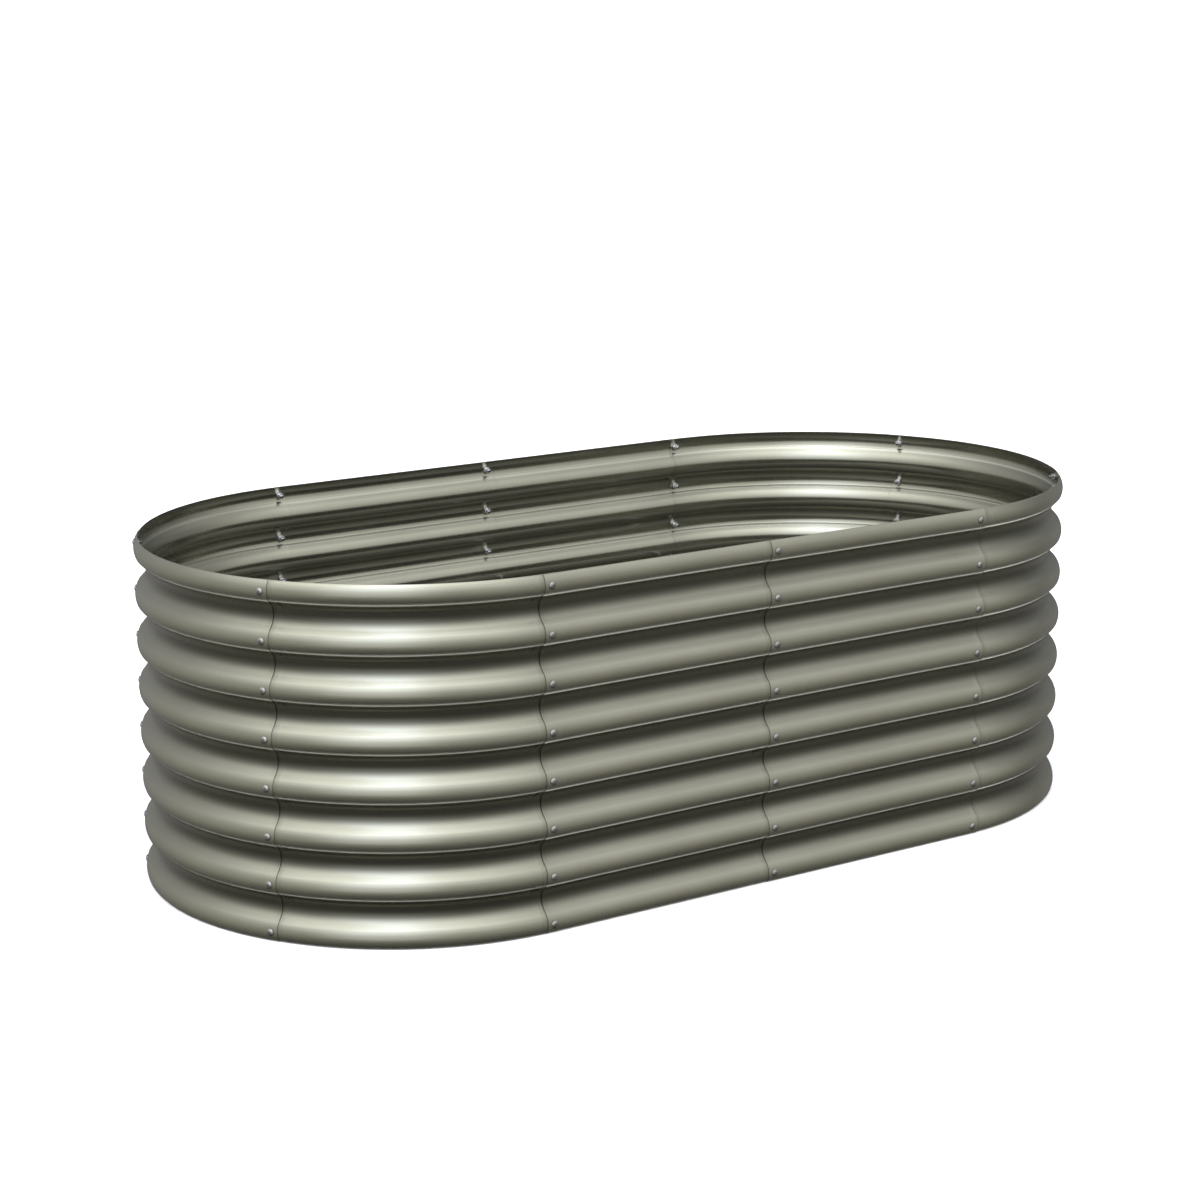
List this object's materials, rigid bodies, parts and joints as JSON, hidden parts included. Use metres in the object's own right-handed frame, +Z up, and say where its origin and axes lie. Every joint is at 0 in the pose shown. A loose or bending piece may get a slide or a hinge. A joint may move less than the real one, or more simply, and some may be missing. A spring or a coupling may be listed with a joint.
{
  "type": "raised garden bed",
  "caption": "Oval open-bottomed raised garden bed: corrugated painted steel panels lapped and bolted along vertical seams, braced inside by cross ties, open top.",
  "frame": {"origin": "on the ground under the middle of the oval plan", "axes": "+X along the long side, +Y from the front side to the back side, +Z up"},
  "size_m": [1.8088, 0.9216, 0.5945],
  "materials": {
    "painted_sheet": "satin olive-grey metallic paint on steel sheet",
    "bolt_steel": "bright zinc plated",
    "nut_steel": "zinc plated",
    "tie_steel": "hot-dip galvanised"
  },
  "bodies": {
    "root": {"panel_left_front": "painted_sheet", "panel_front_left": "painted_sheet", "panel_front_right": "painted_sheet", "panel_right_front": "painted_sheet", "panel_right_end": "painted_sheet", "panel_right_back": "painted_sheet", "panel_back_right": "painted_sheet", "panel_back_left": "painted_sheet", "panel_left_back": "painted_sheet", "panel_left_end": "painted_sheet", "bolts_front_left": "bolt_steel", "washers_front_left": "nut_steel", "nuts_front_left": "nut_steel", "bolts_front_mid": "bolt_steel", "washers_front_mid": "nut_steel", "nuts_front_mid": "nut_steel", "bolts_front_right": "bolt_steel", "washers_front_right": "nut_steel", "nuts_front_right": "nut_steel", "bolts_right_end_front": "bolt_steel", "washers_right_end_front": "nut_steel", "nuts_right_end_front": "nut_steel", "bolts_right_end_back": "bolt_steel", "washers_right_end_back": "nut_steel", "nuts_right_end_back": "nut_steel", "bolts_back_right": "bolt_steel", "washers_back_right": "nut_steel", "nuts_back_right": "nut_steel", "bolts_back_mid": "bolt_steel", "washers_back_mid": "nut_steel", "nuts_back_mid": "nut_steel", "bolts_back_left": "bolt_steel", "washers_back_left": "nut_steel", "nuts_back_left": "nut_steel", "bolts_left_end_back": "bolt_steel", "washers_left_end_back": "nut_steel", "nuts_left_end_back": "nut_steel", "bolts_left_end_front": "bolt_steel", "washers_left_end_front": "nut_steel", "nuts_left_end_front": "nut_steel", "brackets_left": "tie_steel", "tie_bar_left": "tie_steel", "tie_bolts_left": "bolt_steel", "tie_nuts_left": "nut_steel", "brackets_centre": "tie_steel", "tie_bar_centre": "tie_steel", "tie_bolts_centre": "bolt_steel", "tie_nuts_centre": "nut_steel", "brackets_right": "tie_steel", "tie_bar_right": "tie_steel", "tie_bolts_right": "bolt_steel", "tie_nuts_right": "nut_steel"}
  },
  "joints": []
}
